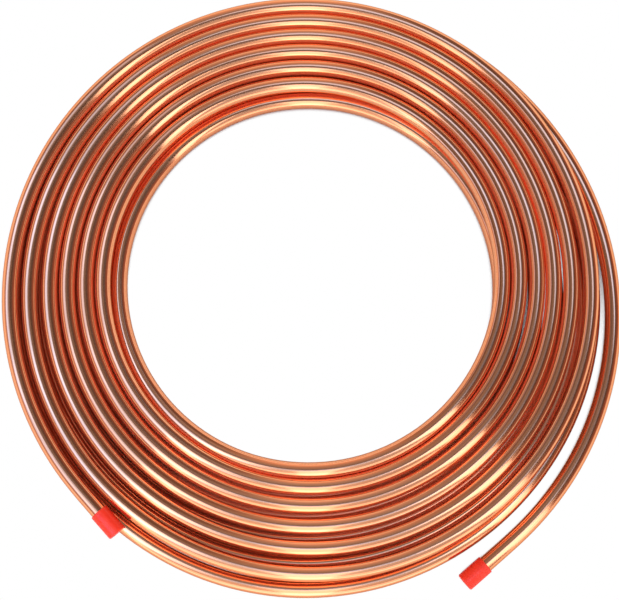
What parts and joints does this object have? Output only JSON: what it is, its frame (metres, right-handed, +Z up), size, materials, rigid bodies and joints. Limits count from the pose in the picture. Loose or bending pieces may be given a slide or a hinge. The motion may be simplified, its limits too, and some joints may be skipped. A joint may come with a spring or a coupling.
{
  "type": "copper tube coil",
  "caption": "Flat two-layer coil of soft round copper tube with an open middle, both tube ends free at the rim and closed by red push-on plastic caps.",
  "frame": {"origin": "on the floor, on the axis of the coil's open middle", "axes": "+Z up along the coil's axis; +Y is the back, where the turns lie close and both free ends leave the coil; the short end runs round by -X and the long end by +X, and their caps are at the front (-Y)"},
  "size_m": [0.4984, 0.4903, 0.0279],
  "materials": {
    "copper": null,
    "red_plastic": "smooth moulded polyethylene"
  },
  "bodies": {
    "root": {"copper_tube": "copper", "short_end_cap": "red_plastic", "long_end_cap": "red_plastic"}
  },
  "joints": []
}
